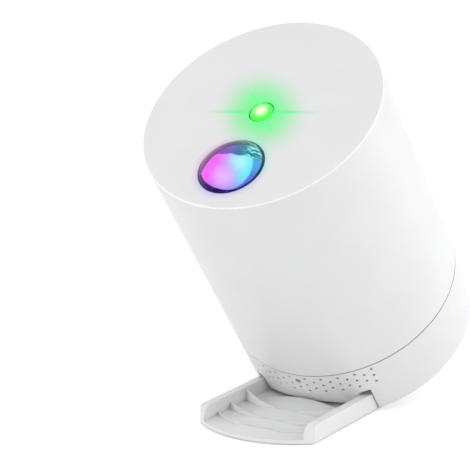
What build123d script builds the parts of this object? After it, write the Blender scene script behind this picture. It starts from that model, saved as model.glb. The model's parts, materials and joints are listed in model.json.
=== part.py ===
from build123d import *
import math
import os

# Planetarium projector: a cylindrical body that leans over a fold-out stand.
# Millimetres.  +X runs along the stand's hinge, -Y is the way the body leans,
# +Z is up.  The origin is the middle of the stand's foot pad, on the ground.
#
# Body pieces are drawn upright in the body's own frame, where x and y cross the
# body and s runs up its axis from the bottom plane, and are then leaned over.
# The body's front is at -y.  Stand pieces are drawn where they stand.

# Body
tilt = 38.4                 # lean of the body over the stand, degrees
body_radius = 55.0
body_length = 147.0
base_height = 30.3          # bottom plane to the seam
seam_gap = 0.6
wall = 2.4
top_thickness = 2.6
top_edge_round = 0.9
base_edge_bevel = 0.8
rim_gap = 0.3               # lowest rim corner above the ground
lip_wall = 2.1
lip_rise = 4.3
lip_depth = 1.2
lip_gap = 0.1
touch = 0.6                 # how deep a boss runs into the wall that carries it

# Fits
bore_gap = 0.06             # radial running fit of pins, collars and shafts
slide_gap = 0.3             # a button in its hole
lens_gap = 0.2              # optics in their holes
cover_gap = 0.3             # bottom cover in the base ring

# Projection lens, at the front of the top face
lens_offset_share = 0.58    # of the body's radius
lens_share = 0.272
lens_rise = 7.0
lens_flange = 1.7
lens_flange_thickness = 1.5
lens_seat_wall = 3.0
retainer_thickness = 1.5
retainer_lip_gap = 0.4
retainer_lip_wall = 1.2

# Laser window, at the middle of the top face
window_share = 0.1018        # of the body's radius
window_rise = 1.2
window_flange = 1.4
window_flange_thickness = 1.2
window_seat_wall = 2.0
window_retainer_length = 3.1

# Gears: teeth and the shape of a tooth
nebula_teeth = 38
star_teeth = 25
pinion_teeth = 10
pressure_angle = 25.0
addendum = 0.8
dedendum = 1.05
backlash = 0.14
flank_steps = 2
gear_depth = 10.6           # top face to the underside of the gears
gear_thickness = 3.5
gear_lift = 0.2             # gear above the shoulder it runs on
gear_web = 2.3              # solid web under the glass of each gear
pinion_steps = 7            # nebula teeth from the star gear's line to the pinion's
tunnel_wall = 1.24          # of the light tunnel's neck
tunnel_shoulder = 0.96
tunnel_inset = 0.9          # tunnel's bore inside the lens's edge
ripple_overlap = 1.7        # ripple disc past the lens's edge
holder_flange = 10.5
holder_flange_thickness = 2.6
holder_radius = 8.4
holder_neck = 6.04
film_radius = 7.3
film_thickness = 0.8
glass_gap = 0.1
shaft_radius = 1.5

# Chassis plate, light source and drive
chassis_depth = 16.0        # gears' underside to the plate's top
chassis_thickness = 2.4
chassis_inset = 4.5         # insets are from the body's radius
post_inset = 9.0
post_radius = 3.2
post_angles = (-20.0, 200.0, 50.0, 130.0)
led_board_gap = 0.4
board_thickness = 1.6
led_spacing = 4.5
led_size = 4.2
led_height = 0.8
led_resin = 1.7
led_resin_height = 0.6
pedestal_setback = 2.2
motor_gap = 1.0             # heatsink to the motor
heatsink_base = 2.5
fin_length = 13.5
fin_thickness = 1.2
fin_pitch = 3.6
laser_radius = 4.5
laser_length = 24.0
laser_aperture = 1.6
laser_front = 1.5           # laser module's nose below its holder's top
motor_radius = 10.0
motor_length = 19.0
motor_bore_depth = 8.0
motor_ear_reach = 12.0
motor_ear_radius = 3.0
motor_ear_thickness = 1.2

# Stand
stand_width = 59.2
stand_wall = 4.0
stand_wall_height = 8.9
stand_reach = 65.4          # hinge axis to the front corners
front_arc = 43.8            # radius of the stand's front edge, seen from above
wall_nose_round = 5.5
foot_gap = 0.4              # stand's underside above the ground
floor_top = 2.4
pad_inset = 3.0
pad_back_inset = 3.6
pad_thickness = 1.0
deck_end = 23.0             # hinge axis to the deck's back edge
deck_crown = 68.0           # radius of the deck's arch across the stand
crown_back = 5.2            # deck height at its back edge
crown_front = 2.7           # deck height at the front lip
rib_setbacks = (11.4, 22.4, 36.4)
rib_wall_lifts = (0.6, 1.6, 3.2)   # each rib's rise from the middle to the walls
rib_thickness = 1.3
rib_rise = 0.05
hinge_height = 8.8
eye_radius = 3.2
hinge_pin_radius = 1.5
slot_side_gap = 0.5
slot_inner_gap = 0.4
slot_top = 14.8
front_clearance = 4.0       # body's cut-away front above the ground
pocket_depth = 12.5
pocket_gap = 1.2
pocket_front_gap = 0.8

# Bottom cover
cover_recess = 0.4
cover_thickness = 2.4
cover_wall = 2.0
lug_length = 4.0
lug_outer_length = 4.4
lug_outer_reach = 4.0
lug_outer_height = 8.0
scoop_radius = 9.0
scoop_setback = 2.0
scoop_depth = 7.0
scoop_wall = 1.5
pad_radius = 3.5
pad_circle_inset = 7.5
pad_turn = 12.0             # pads behind the base screws, degrees
pad_proud = 0.9
pad_recess = 0.5
base_screw_inset = 6.0
front_screw_angles = (-28.0, 208.0)
base_boss_radius = 4.0
base_boss_top = 13.0
board_post_rows = (-10.0, 20.0)
board_post_gap = 7.0        # beside the slots
board_post_radius = 3.0

# Screws: shank radius, head radius and head height of the two sizes used.  Small
# round things that repeat have few flat sides.
few_sides = 8
grille_sides = 6
screw_shank = 1.1
screw_head = 2.6
screw_head_height = 1.6
screw_bite = 8.0
small_shank = 0.9
small_head = 1.9
small_head_height = 1.3
small_bite = 4.0

# Grille of sound holes and the receiver's hole, at the front of the base
hole_radius = 0.68
hole_columns = 9
hole_step = 4.18            # degrees between columns
first_row = 27.76
row_pitch = 2.17
receiver_hole = 1.5
receiver_width = 11.8
receiver_height = 7.6
receiver_board = 1.2
receiver_setback = 5.0
receiver_rib = 1.2
receiver_rib_gap = 0.1
receiver_eye = 1.3

# Speaker
speaker_width = 44.0
speaker_height = 17.4
speaker_centre = 25.9
speaker_inset = 14.0        # flange's front from the body's radius
speaker_flange = 1.2
speaker_corner = 4.0
speaker_cone_radius = 7.9
speaker_frame_wall = 1.1
speaker_depth = 6.8
cone_throat = 2.5
cone_depth = 4.2
cone_thickness = 0.5
magnet_radius = 7.5
magnet_length = 6.5
speaker_boss_x = 19.0
speaker_boss_s = 31.6
speaker_boss_radius = 2.2

# Main board
main_board_low = 40.0
main_board_inset = 7.5
main_board_chord_inset = 17.0
controller_x = -10.0
controller_width = 12.0
controller_height = 1.4
driver_x = 11.0
driver_width = 7.0
driver_height = 1.6
can_radius = 3.2
can_height = 9.0
can_pitch = 9.0
can_row = 22.0
socket_width = 7.5
socket_depth = 5.0
socket_height = 6.0
socket_pitch = 14.0
socket_row = -29.5

# Buttons and power inlet, at the back of the base
button_row = 21.5           # height of the row up the axis
button_places = {"power_button": -22.0, "color_button": -12.0,
                 "speed_button": 12.0, "volume_button": 22.0}
button_radius = 3.6
button_proud = 0.9
button_flange = 1.0
button_flange_thickness = 1.0
button_stem = 1.6
button_board_inset = 19.0   # board's outer face from the body's radius
button_board_width = 68.0
button_board_height = 11.8
button_board_lift = -5.9    # board's bottom edge below the row
switch_size = 6.0
switch_height = 3.0
switch_floor = 0.8
stem_in_switch = 1.0
button_boss_x = 30.2
button_boss_radius = 2.4
jack_width = 9.0
jack_height = 9.0
jack_nose = 14.5            # board to the shoulder behind the nose
jack_nose_radius = 3.9
jack_nose_end = 0.7         # nose below the base's surface
jack_hole_gap = 0.3
jack_bore = 3.1
jack_bore_depth = 8.3
jack_pin = 1.0
jack_pin_setback = 1.3

# Worked out from the sizes above
lean = math.radians(tilt)
inner_radius = body_radius - wall
ring_top = base_height - seam_gap / 2
housing_low = base_height + seam_gap / 2
lip_radius = inner_radius - lip_gap
ceiling = body_length - top_thickness
gear_low = body_length - gear_depth
gear_top = gear_low + gear_thickness
chassis_top = gear_low - chassis_depth
chassis_low = chassis_top - chassis_thickness
chassis_radius = body_radius - chassis_inset
post_circle = body_radius - post_inset
shoulder = gear_low - gear_lift
lens_offset = lens_offset_share * body_radius
lens_radius = lens_share * body_radius
window_radius = window_share * body_radius
lens_y = -lens_offset
lens_low = ceiling - lens_flange_thickness
window_low = ceiling - window_flange_thickness
slot_outer = stand_width / 2 + slot_side_gap
slot_inner = stand_width / 2 - stand_wall - slot_inner_gap
bottom_height = math.sqrt(body_radius ** 2 - slot_outer ** 2) * math.sin(lean) + rim_gap
cover_low = cover_recess
cover_top = cover_recess + cover_thickness
cover_radius = inner_radius - cover_gap
tunnel_bore = lens_radius - tunnel_inset
tunnel_neck = tunnel_bore + tunnel_wall
tunnel_radius = tunnel_neck + tunnel_shoulder
ripple_radius = lens_radius + ripple_overlap
led_board_radius = tunnel_bore - led_board_gap
pad_circle = body_radius - pad_circle_inset
base_screw_circle = body_radius - base_screw_inset
main_board_radius = body_radius - main_board_inset
main_board_chord = body_radius - main_board_chord_inset
speaker_front = body_radius - speaker_inset
button_board_back = body_radius - button_board_inset
board_post_x = slot_outer + board_post_gap
board_posts = [(side * board_post_x, row) for side in (-1, 1) for row in board_post_rows]

# Hinge axis, in the body's frame and on the ground.  The eyes end level with the
# bottom plane when the stand is folded away.
hinge_s = eye_radius
hinge_y = (hinge_height - bottom_height - hinge_s * math.cos(lean)) / math.sin(lean)
hinge_ground_y = hinge_y * math.cos(lean) - hinge_s * math.sin(lean)
corner_y = hinge_ground_y - stand_reach
arc_y = corner_y + math.sqrt(front_arc ** 2 - (stand_width / 2) ** 2)
tip_y = arc_y - front_arc
foot_back = hinge_ground_y - pad_back_inset
foot_front = tip_y + pad_inset
foot_middle = (foot_back + foot_front) / 2

# The pocket takes the stand after it has swung under the body and lies along it
pocket_front = hinge_y - pocket_front_gap
pocket_arc_y = hinge_y + hinge_ground_y - arc_y
pocket_radius = front_arc + pocket_gap
pocket_tip = pocket_arc_y + pocket_radius

# Gears: the wheel of the lens and the wheel of the window mesh, which sets the module
gear_module = 2 * lens_offset / (nebula_teeth + star_teeth)
nebula_radius = gear_module * nebula_teeth / 2
pinion_radius = gear_module * pinion_teeth / 2
pinion_angle = math.pi / 2 - pinion_steps * 2 * math.pi / nebula_teeth
pinion_reach = nebula_radius + pinion_radius
pinion_x = pinion_reach * math.cos(pinion_angle)
pinion_y = lens_y + pinion_reach * math.sin(pinion_angle)
heatsink_radius = pinion_reach - motor_radius - motor_gap
pedestal_radius = heatsink_radius - pedestal_setback
fin_pairs = int((heatsink_radius - fin_thickness) // fin_pitch)     # beside the middle fin


# ---------------------------------------------------------------- basic shapes

def rod(radius, low, high, x=0.0, y=0.0):
    return Pos(x, y, (low + high) / 2) * Cylinder(radius, high - low)


def tube(outer, inner, low, high, x=0.0, y=0.0):
    return rod(outer, low, high, x, y) - rod(inner, low, high, x, y)


def block(x_low, x_high, y_low, y_high, z_low, z_high):
    middle = Pos((x_low + x_high) / 2, (y_low + y_high) / 2, (z_low + z_high) / 2)
    return middle * Box(x_high - x_low, y_high - y_low, z_high - z_low)


def rod_along_x(radius, x_low, x_high, y, z):
    return Pos((x_low + x_high) / 2, y, z) * Rot(0, 90, 0) * Cylinder(radius, x_high - x_low)


def rod_along_y(radius, y_low, y_high, x, z):
    return Pos(x, (y_low + y_high) / 2, z) * Rot(90, 0, 0) * Cylinder(radius, y_high - y_low)


def on_circle(radius, angle):
    turn = math.radians(angle)
    return radius * math.cos(turn), radius * math.sin(turn)


def chord_y(radius, x):
    return math.sqrt(radius ** 2 - x ** 2)


def dome(radius, rise, low, x=0.0, y=0.0):
    """Cap of a ball, standing on a circle of the given radius."""
    ball = (radius ** 2 + rise ** 2) / (2 * rise)
    cap = Pos(x, y, low + rise - ball) * Sphere(ball)
    return cap & rod(radius, low, low + rise, x, y)


def arch_face(half_width, back_y, arc_centre, radius, side):
    """Straight back, straight sides and one round end; side is -1 or 1 along y."""
    corner = arc_centre + side * chord_y(radius, half_width)
    end = arc_centre + side * radius
    outline = Line((half_width, back_y), (-half_width, back_y))
    outline += Line((-half_width, back_y), (-half_width, corner))
    outline += ThreePointArc((-half_width, corner), (0, end), (half_width, corner))
    outline += Line((half_width, corner), (half_width, back_y))
    return make_face(outline)


def prism(face, low, high):
    return extrude(Pos(0, 0, low) * face, amount=high - low, dir=(0, 0, 1))


def bar(radius, low, high, x=0.0, y=0.0):
    """Rod with few flat sides, for screws, their holes and the like."""
    return prism(Pos(x, y) * RegularPolygon(radius, few_sides), low, high)


def bar_along_y(radius, y_low, y_high, x, z, sides=few_sides):
    face = Pos(x, y_low, z) * Rot(90, 0, 0) * RegularPolygon(radius, sides)
    return extrude(face, amount=y_high - y_low, dir=(0, 1, 0))


def screw(x, y, seat, bite, up):
    """Pan-head screw; the head sits on the seat and the shank runs up or down from it."""
    way = 1 if up else -1
    shank_end = seat + way * bite
    head_end = seat - way * screw_head_height
    shank = bar(screw_shank, min(seat, shank_end), max(seat, shank_end), x, y)
    return shank + bar(screw_head, min(seat, head_end), max(seat, head_end), x, y)


def leaned(shape):
    return Pos(0, -foot_middle, bottom_height) * Rot(tilt, 0, 0) * shape


def grounded(shape):
    return Pos(0, -foot_middle, 0) * shape


def upright(shape):
    """Brings a shape drawn where it stands into the body's own frame."""
    return Rot(-tilt, 0, 0) * Pos(0, 0, -bottom_height) * shape


# ----------------------------------------------------------------------- gears

def involute(angle):
    return math.tan(angle) - angle


def half_tooth(teeth, radius):
    """Half of a tooth's angle at a radius, from the involute of its base circle."""
    pitch = gear_module * teeth / 2
    slope = math.radians(pressure_angle)
    base = pitch * math.cos(slope)
    at_pitch = (math.pi * gear_module / 2 - backlash) / (2 * pitch)
    return at_pitch + involute(slope) - involute(math.acos(min(1.0, base / radius)))


def tooth_points(teeth):
    """Half a tooth, root to tip, as (radius, half angle)."""
    pitch = gear_module * teeth / 2
    root = pitch - dedendum * gear_module
    tip = pitch + addendum * gear_module
    base = pitch * math.cos(math.radians(pressure_angle))
    start = max(root, base)
    points = [(start + (tip - start) * step / flank_steps) for step in range(flank_steps + 1)]
    flank = [(radius, half_tooth(teeth, radius)) for radius in points]
    if root < base:
        flank.insert(0, (root, flank[0][1]))
    return flank


def gear_blank(teeth, first_tooth, low, high, x, y):
    """Toothed disc with the middle of one tooth at the angle first_tooth."""
    flank = tooth_points(teeth)
    rising = [(radius, -half) for radius, half in flank]
    falling = [(radius, half) for radius, half in reversed(flank)]
    corners = []
    for tooth in range(teeth):
        middle = first_tooth + tooth * 2 * math.pi / teeth
        for radius, offset in rising + falling:
            turn = middle + offset
            corners.append((x + radius * math.cos(turn), y + radius * math.sin(turn)))
    return prism(make_face(Polyline(*corners, close=True)), low, high)


def nebula_gear():
    web_top = gear_low + gear_web
    gear = gear_blank(nebula_teeth, math.pi / 2, gear_low, gear_top, 0, lens_y)
    gear -= rod(tunnel_neck + bore_gap, gear_low, web_top, 0, lens_y)
    return gear - rod(ripple_radius + glass_gap, web_top, gear_top, 0, lens_y)


def ripple_disc():
    return rod(ripple_radius, gear_low + gear_web, gear_top, 0, lens_y)


def star_gear():
    half_pitch = math.pi / star_teeth
    gear = gear_blank(star_teeth, half_pitch - math.pi / 2, gear_low, gear_top, 0, 0)
    gear -= rod(holder_neck + bore_gap, gear_low, gear_top)
    return gear - rod(film_radius + glass_gap, gear_top - film_thickness, gear_top)


def grating_film():
    return rod(film_radius, gear_top - film_thickness, gear_top)


def drive_pinion():
    first_tooth = pinion_angle + math.pi + math.pi / pinion_teeth
    gear = gear_blank(pinion_teeth, first_tooth, gear_low, gear_top, pinion_x, pinion_y)
    return gear - rod(shaft_radius, gear_low, gear_top, pinion_x, pinion_y)


def motor_shaft():
    foot = chassis_low - motor_bore_depth + glass_gap
    return rod(shaft_radius, foot, gear_top + glass_gap, pinion_x, pinion_y)


# --------------------------------------------------------- housing and optics

def housing():
    outer = rod(body_radius, housing_low, body_length)
    outer = fillet(outer.edges().group_by(Axis.Z)[-1], top_edge_round)
    cup = outer - rod(inner_radius, housing_low, ceiling)
    lens_seat = lens_radius + lens_flange
    cup += tube(lens_seat + lens_seat_wall, lens_seat + glass_gap, lens_low, ceiling, 0, lens_y)
    window_seat = window_radius + window_flange
    cup += tube(window_seat + window_seat_wall, window_seat + glass_gap, window_low, ceiling)
    for angle in post_angles:
        x, y = on_circle(post_circle, angle)
        cup += rod(post_radius, chassis_top, ceiling, x, y)
        cup -= bar(screw_shank, chassis_top, chassis_top + screw_bite, x, y)
    cup -= rod(lens_radius + lens_gap, ceiling, body_length, 0, lens_y)
    return cup - rod(window_radius + lens_gap, ceiling, body_length)


def projection_lens():
    lens = rod(lens_radius + lens_flange, lens_low, ceiling, 0, lens_y)
    lens += rod(lens_radius, ceiling, body_length, 0, lens_y)
    return lens + dome(lens_radius, lens_rise, body_length, 0, lens_y)


def lens_retainer():
    low = lens_low - retainer_thickness
    outer = lens_radius + lens_flange + lens_seat_wall
    ring = tube(outer, lens_radius - lens_gap, low, lens_low, 0, lens_y)
    lip_low = gear_top + gear_lift
    lip_inner = ripple_radius + retainer_lip_gap
    return ring + tube(lip_inner + retainer_lip_wall, lip_inner, lip_low, low, 0, lens_y)


def laser_window():
    window = rod(window_radius + window_flange, window_low, ceiling)
    window += rod(window_radius, ceiling, body_length)
    return window + dome(window_radius, window_rise, body_length)


def window_retainer():
    outer = window_radius + window_flange + window_seat_wall
    return tube(outer, window_radius, window_low - window_retainer_length, window_low)


# ------------------------------------------------- chassis, light and drive

def motor_ears():
    """Centres of the two screw ears, across the line from lens to motor."""
    turn = pinion_angle + math.pi / 2
    step_x = motor_ear_reach * math.cos(turn)
    step_y = motor_ear_reach * math.sin(turn)
    return [(pinion_x + step_x, pinion_y + step_y), (pinion_x - step_x, pinion_y - step_y)]


def chassis_plate():
    plate = rod(chassis_radius, chassis_low, chassis_top)
    plate -= rod(pedestal_radius + glass_gap, chassis_low, chassis_top, 0, lens_y)
    plate -= rod(laser_radius + glass_gap, chassis_low, chassis_top)
    plate -= rod(shaft_radius + slide_gap, chassis_low, chassis_top, pinion_x, pinion_y)
    for angle in post_angles:
        x, y = on_circle(post_circle, angle)
        plate -= bar(screw_shank, chassis_low, chassis_top, x, y)
    for x, y in motor_ears():
        plate -= bar(small_shank, chassis_low, chassis_top, x, y)
    return plate


def chassis_screws():
    places = [on_circle(post_circle, angle) for angle in post_angles]
    return [screw(x, y, chassis_low, chassis_thickness + screw_bite, True) for x, y in places]


def light_tunnel():
    tunnel = rod(tunnel_radius, chassis_top, shoulder, 0, lens_y)
    tunnel += rod(tunnel_neck, shoulder, gear_low + gear_web - gear_lift, 0, lens_y)
    return tunnel - rod(tunnel_bore, chassis_top, gear_top, 0, lens_y)


def led_board():
    return rod(led_board_radius, chassis_top, chassis_top + board_thickness, 0, lens_y)


def led_emitters():
    low = chassis_top + board_thickness
    half = led_size / 2
    leds = []
    for x in (-led_spacing, led_spacing):
        for y in (lens_y - led_spacing, lens_y + led_spacing):
            chip = block(x - half, x + half, y - half, y + half, low, low + led_height)
            top = low + led_height
            leds.append(chip + bar(led_resin, top, top + led_resin_height, x, y))
    return leds


def heatsink():
    base_low = chassis_low - heatsink_base
    sink = rod(heatsink_radius, base_low, chassis_low, 0, lens_y)
    sink += rod(pedestal_radius, chassis_low, chassis_top, 0, lens_y)
    for fin in range(-fin_pairs, fin_pairs + 1):
        x = fin * fin_pitch
        reach = chord_y(heatsink_radius, abs(x) + fin_thickness / 2)
        sink += block(x - fin_thickness / 2, x + fin_thickness / 2, lens_y - reach,
                      lens_y + reach, base_low - fin_length, base_low)
    return sink


def holder_top():
    return gear_top - film_thickness - gear_lift


def laser_holder():
    flange_top = chassis_top + holder_flange_thickness
    holder = rod(holder_flange, chassis_top, flange_top)
    holder += rod(holder_radius, flange_top, shoulder)
    holder += rod(holder_neck, shoulder, holder_top())
    return holder - rod(laser_radius, chassis_top, holder_top())


def laser_module():
    nose = holder_top() - laser_front
    module = rod(laser_radius, nose - laser_length, nose)
    return module - rod(laser_aperture, nose - laser_aperture, nose)


def drive_motor():
    motor = rod(motor_radius, chassis_low - motor_length, chassis_low, pinion_x, pinion_y)
    ear_low = chassis_low - motor_ear_thickness
    for x, y in motor_ears():
        ear = rod(motor_ear_radius, ear_low, chassis_low, x, y)
        motor += ear - bar(small_shank, ear_low, chassis_low, x, y)
    bore_low = chassis_low - motor_bore_depth
    return motor - rod(shaft_radius + bore_gap, bore_low, chassis_low, pinion_x, pinion_y)


def motor_screws():
    seat = chassis_low - motor_ear_thickness
    screws = []
    for x, y in motor_ears():
        shank = bar(small_shank, seat, chassis_top, x, y)
        screws.append(shank + bar(small_head, seat - small_head_height, seat, x, y))
    return screws


# ------------------------------------------------------------------- base ring

def sound_holes():
    """Staggered grille; the receiver's hole takes one place in the middle column."""
    drills = []
    for column in range(-hole_columns, hole_columns + 1):
        rows = (0, 2, 4) if column % 2 else (1, 3)
        for row in rows:
            middle = (column, row) == (0, 1)
            radius, sides = (receiver_hole, 2 * few_sides) if middle else (hole_radius, grille_sides)
            drill = bar_along_y(radius, -body_radius - wall, 2 * wall - body_radius, 0,
                                first_row - row * row_pitch, sides)
            drills.append(Rot(0, 0, column * hole_step) * drill)
    return drills


def below_front():
    """Everything under the body's cut-away front, in the body's frame."""
    return upright(Pos(0, 0, front_clearance - body_radius) * Box(4 * body_radius, 4 * body_radius,
                                                                 2 * body_radius))


def stand_slots(back_y):
    slots = []
    for side in (-1, 1):
        edges = sorted((side * slot_inner, side * slot_outer))
        slots.append(block(edges[0], edges[1], -body_radius - wall, back_y, -wall, slot_top))
    return slots


def ring_shell():
    outer = rod(body_radius, 0, ring_top)
    outer = chamfer(outer.edges().group_by(Axis.Z)[0], base_edge_bevel)
    ring = outer - rod(inner_radius, 0, ring_top)
    ring += tube(inner_radius, lip_radius - lip_wall, ring_top - lip_depth, ring_top)
    return ring + tube(lip_radius, lip_radius - lip_wall, ring_top, ring_top + lip_rise)


def base_screw_places():
    """Two screws beside the hinge lugs and two beside the pocket."""
    side = slot_outer + cover_wall + base_boss_radius + cover_gap
    rear = [(x, chord_y(base_screw_circle, x)) for x in (-side, side)]
    return [on_circle(base_screw_circle, angle) for angle in front_screw_angles] + rear


def pad_places():
    places = []
    for x, y in base_screw_places():
        angle = math.degrees(math.atan2(y, x)) + math.copysign(pad_turn, x)
        places.append(on_circle(pad_circle, angle))
    return places


def ring_bosses():
    bosses = []
    boss_start = chord_y(lip_radius - lip_wall, speaker_boss_x - speaker_boss_radius) + lip_gap
    for x, y in base_screw_places():
        bosses.append(rod(base_boss_radius, cover_top, base_boss_top, x, y))
    for side in (-1, 1):
        bosses.append(rod_along_y(speaker_boss_radius, -boss_start, -speaker_front,
                                  side * speaker_boss_x, speaker_boss_s))
        wall_y = chord_y(inner_radius, button_boss_x) + touch
        bosses.append(rod_along_y(button_boss_radius, button_board_back, wall_y,
                                  side * button_boss_x, button_row))
        inner = side * (receiver_width / 2 + receiver_rib_gap)
        edges = sorted((inner, inner + side * receiver_rib))
        bosses.append(block(edges[0], edges[1], -inner_radius, receiver_setback - inner_radius,
                            receiver_row() - receiver_height / 2, ring_top - lip_depth))
    return bosses


def receiver_row():
    return first_row - row_pitch


def ring_screw_holes():
    holes = []
    for x, y in base_screw_places():
        holes.append(bar(screw_shank, cover_top, cover_top + screw_bite, x, y))
    for side in (-1, 1):
        holes.append(bar_along_y(small_shank, -speaker_front - small_bite, -speaker_front,
                                 side * speaker_boss_x, speaker_boss_s))
        holes.append(bar_along_y(small_shank, button_board_back, button_board_back + small_bite,
                                 side * button_boss_x, button_row))
    return holes


def base_ring():
    ring = ring_shell()
    for boss in ring_bosses():
        ring += boss
    ring -= ring_screw_holes()
    ring -= sound_holes()
    ring -= stand_slots(-body_radius / 2)
    front = block(-slot_outer, slot_outer, -2 * body_radius, -body_radius / 2, -wall, slot_top)
    ring -= front & below_front()
    outside = 2 * body_radius
    for x in button_places.values():
        ring -= rod_along_y(button_radius + slide_gap, button_board_back, outside, x, button_row)
    return ring - rod_along_y(jack_nose_radius + jack_hole_gap, button_board_back, outside,
                              0, button_row)


# ---------------------------------------------------------------- bottom cover

def pocket_face(grow):
    return arch_face(slot_outer + grow, pocket_front - grow, pocket_arc_y, pocket_radius + grow, 1)


def front_slope():
    """Sloping floor of the cut-away front, between the two slots."""
    slab = Pos(0, 0, front_clearance + cover_thickness / 2) * Box(4 * body_radius, 4 * body_radius,
                                                                 cover_thickness)
    region = block(-slot_inner, slot_inner, -cover_radius, pocket_front, cover_low, slot_top)
    return region & upright(slab)


def slot_walls():
    walls = []
    for side in (-1, 1):
        edges = sorted((side * (slot_inner - cover_wall), side * (slot_outer + cover_wall)))
        walls.append(block(edges[0], edges[1], -cover_radius, pocket_front, cover_low,
                           slot_top + cover_wall))
    return walls


def hinge_lugs():
    """Inner lugs stand on the pocket's front wall, outer ones on its sides."""
    lugs = []
    for side in (-1, 1):
        inner = sorted((side * slot_inner, side * (slot_inner - lug_length)))
        lugs.append(rod_along_x(eye_radius, inner[0], inner[1], hinge_y, hinge_s))
        lugs.append(block(inner[0], inner[1], pocket_front - cover_wall, hinge_y, cover_low,
                          hinge_s + eye_radius))
        outer = sorted((side * slot_outer, side * (slot_outer + lug_outer_length)))
        lugs.append(block(outer[0], outer[1], hinge_y - lug_outer_reach, hinge_y + lug_outer_reach,
                          cover_low, lug_outer_height))
    return lugs


def bottom_cover():
    cover = rod(cover_radius, cover_low, cover_top)
    cover += prism(pocket_face(cover_wall), cover_low, pocket_depth + cover_wall)
    scoop_y = pocket_tip - scoop_setback
    cover += rod(scoop_radius + scoop_wall, cover_low, scoop_depth + scoop_wall, 0, scoop_y)
    cover += slot_walls()
    cover -= prism(pocket_face(0), -wall, pocket_depth)
    cover -= rod(scoop_radius, -wall, scoop_depth, 0, scoop_y)
    cover -= stand_slots(pocket_front)
    front = block(-slot_inner, slot_inner, -2 * body_radius, pocket_front, -wall, slot_top)
    cover -= front & below_front()
    cover += front_slope()
    cover += hinge_lugs()
    for side in (-1, 1):
        cover -= rod_along_x(hinge_pin_radius, side * slot_outer - slot_outer,
                             side * slot_outer + slot_outer, hinge_y, hinge_s)
    cover &= rod(cover_radius, -wall, body_length)
    for x, y in board_posts:
        cover += rod(board_post_radius, cover_low, main_board_low, x, y)
        cover -= bar(screw_shank, main_board_low - screw_bite, main_board_low, x, y)
    for x, y in base_screw_places():
        cover -= bar(screw_shank, -wall, cover_top, x, y)
        cover -= bar(screw_head + glass_gap, -wall, cover_low + screw_head_height, x, y)
    for x, y in pad_places():
        cover -= rod(pad_radius, -wall, cover_low + pad_recess, x, y)
    return cover


def bottom_screws():
    seat = cover_low + screw_head_height
    return [screw(x, y, seat, screw_bite, True) for x, y in base_screw_places()]


def bottom_pads():
    high = cover_low + pad_recess
    return [rod(pad_radius, high - pad_recess - pad_proud, high, x, y) for x, y in pad_places()]


def hinge_pins():
    pins = []
    for side in (-1, 1):
        ends = sorted((side * (slot_inner - lug_length), side * (slot_outer + lug_outer_length)))
        pins.append(rod_along_x(hinge_pin_radius, ends[0], ends[1], hinge_y, hinge_s))
    return pins


# ------------------------------------------------------ speaker and receiver

def speaker_frame():
    back = speaker_flange - speaker_front
    face = RectangleRounded(speaker_width, speaker_height, speaker_corner)
    flange = extrude(Pos(0, -speaker_front, speaker_centre) * Rot(90, 0, 0) * face,
                     amount=speaker_flange, dir=(0, 1, 0))
    basket = speaker_cone_radius + speaker_frame_wall
    frame = flange + rod_along_y(basket, -speaker_front, back + speaker_depth, 0, speaker_centre)
    frame -= rod_along_y(speaker_cone_radius, -speaker_front, back + speaker_depth - speaker_frame_wall,
                         0, speaker_centre)
    for side in (-1, 1):
        frame -= bar_along_y(small_shank, -speaker_front, back, side * speaker_boss_x, speaker_boss_s)
    return frame


def speaker_cone():
    """Shallow paper cone with a dust cap, open to the front."""
    dish = Cone(cone_throat, speaker_cone_radius, cone_depth)
    hollow = Pos(0, 0, cone_thickness) * Cone(cone_throat, speaker_cone_radius, cone_depth)
    cap_height = cone_throat / 2
    cap = Pos(0, 0, (cap_height - cone_depth) / 2 + cone_thickness)
    cap *= Cone(cone_throat, cap_height, cap_height)
    middle = Pos(0, cone_depth / 2 + cone_thickness - speaker_front, speaker_centre)
    return middle * Rot(90, 0, 0) * (dish - hollow + cap)


def speaker_magnet():
    low = speaker_flange - speaker_front + speaker_depth
    return rod_along_y(magnet_radius, low, low + magnet_length, 0, speaker_centre)


def small_screws(places, seat, way):
    """Screws along y: the head lies on the side that way points to."""
    screws = []
    for x, s in places:
        tip = seat - way * small_bite
        head = seat + way * small_head_height
        shank = bar_along_y(small_shank, min(seat, tip), max(seat, tip), x, s)
        screws.append(shank + bar_along_y(small_head, min(seat, head), max(seat, head), x, s))
    return screws


def speaker_screws():
    places = [(-speaker_boss_x, speaker_boss_s), (speaker_boss_x, speaker_boss_s)]
    return small_screws(places, speaker_flange - speaker_front, 1)


def ir_receiver():
    back = receiver_setback - inner_radius
    half = receiver_width / 2
    low = receiver_row() - receiver_height / 2
    board = block(-half, half, back - receiver_board, back, low, low + receiver_height)
    eye = rod_along_y(receiver_eye, -inner_radius, back, 0, receiver_row())
    half_case = 2 * receiver_eye
    case = block(-half_case, half_case, back - 2 * receiver_eye, back,
                 receiver_row() - half_case, receiver_row() + half_case)
    return board + case + eye


# ------------------------------------------------------------------ main board

def main_board():
    board = rod(main_board_radius, main_board_low, main_board_low + board_thickness)
    board -= block(-main_board_radius, main_board_radius, -2 * main_board_radius, -main_board_chord,
                   main_board_low, main_board_low + board_thickness)
    for x, y in board_posts:
        board -= bar(screw_shank, main_board_low, main_board_low + board_thickness, x, y)
    return board


def board_components():
    """Controller and driver chips, capacitors and lead sockets on the main board."""
    low = main_board_low + board_thickness
    parts = []
    for x, width, height in ((controller_x, controller_width, controller_height),
                             (driver_x, driver_width, driver_height)):
        parts.append(Pos(x, 0, low + height / 2) * Box(width, width, height))
    for place in (-1, 0, 1):
        parts.append(bar(can_radius, low, low + can_height, place * can_pitch, can_row))
        socket = Box(socket_width, socket_depth, socket_height)
        parts.append(Pos(place * socket_pitch, socket_row, low + socket_height / 2) * socket)
    return parts


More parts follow.
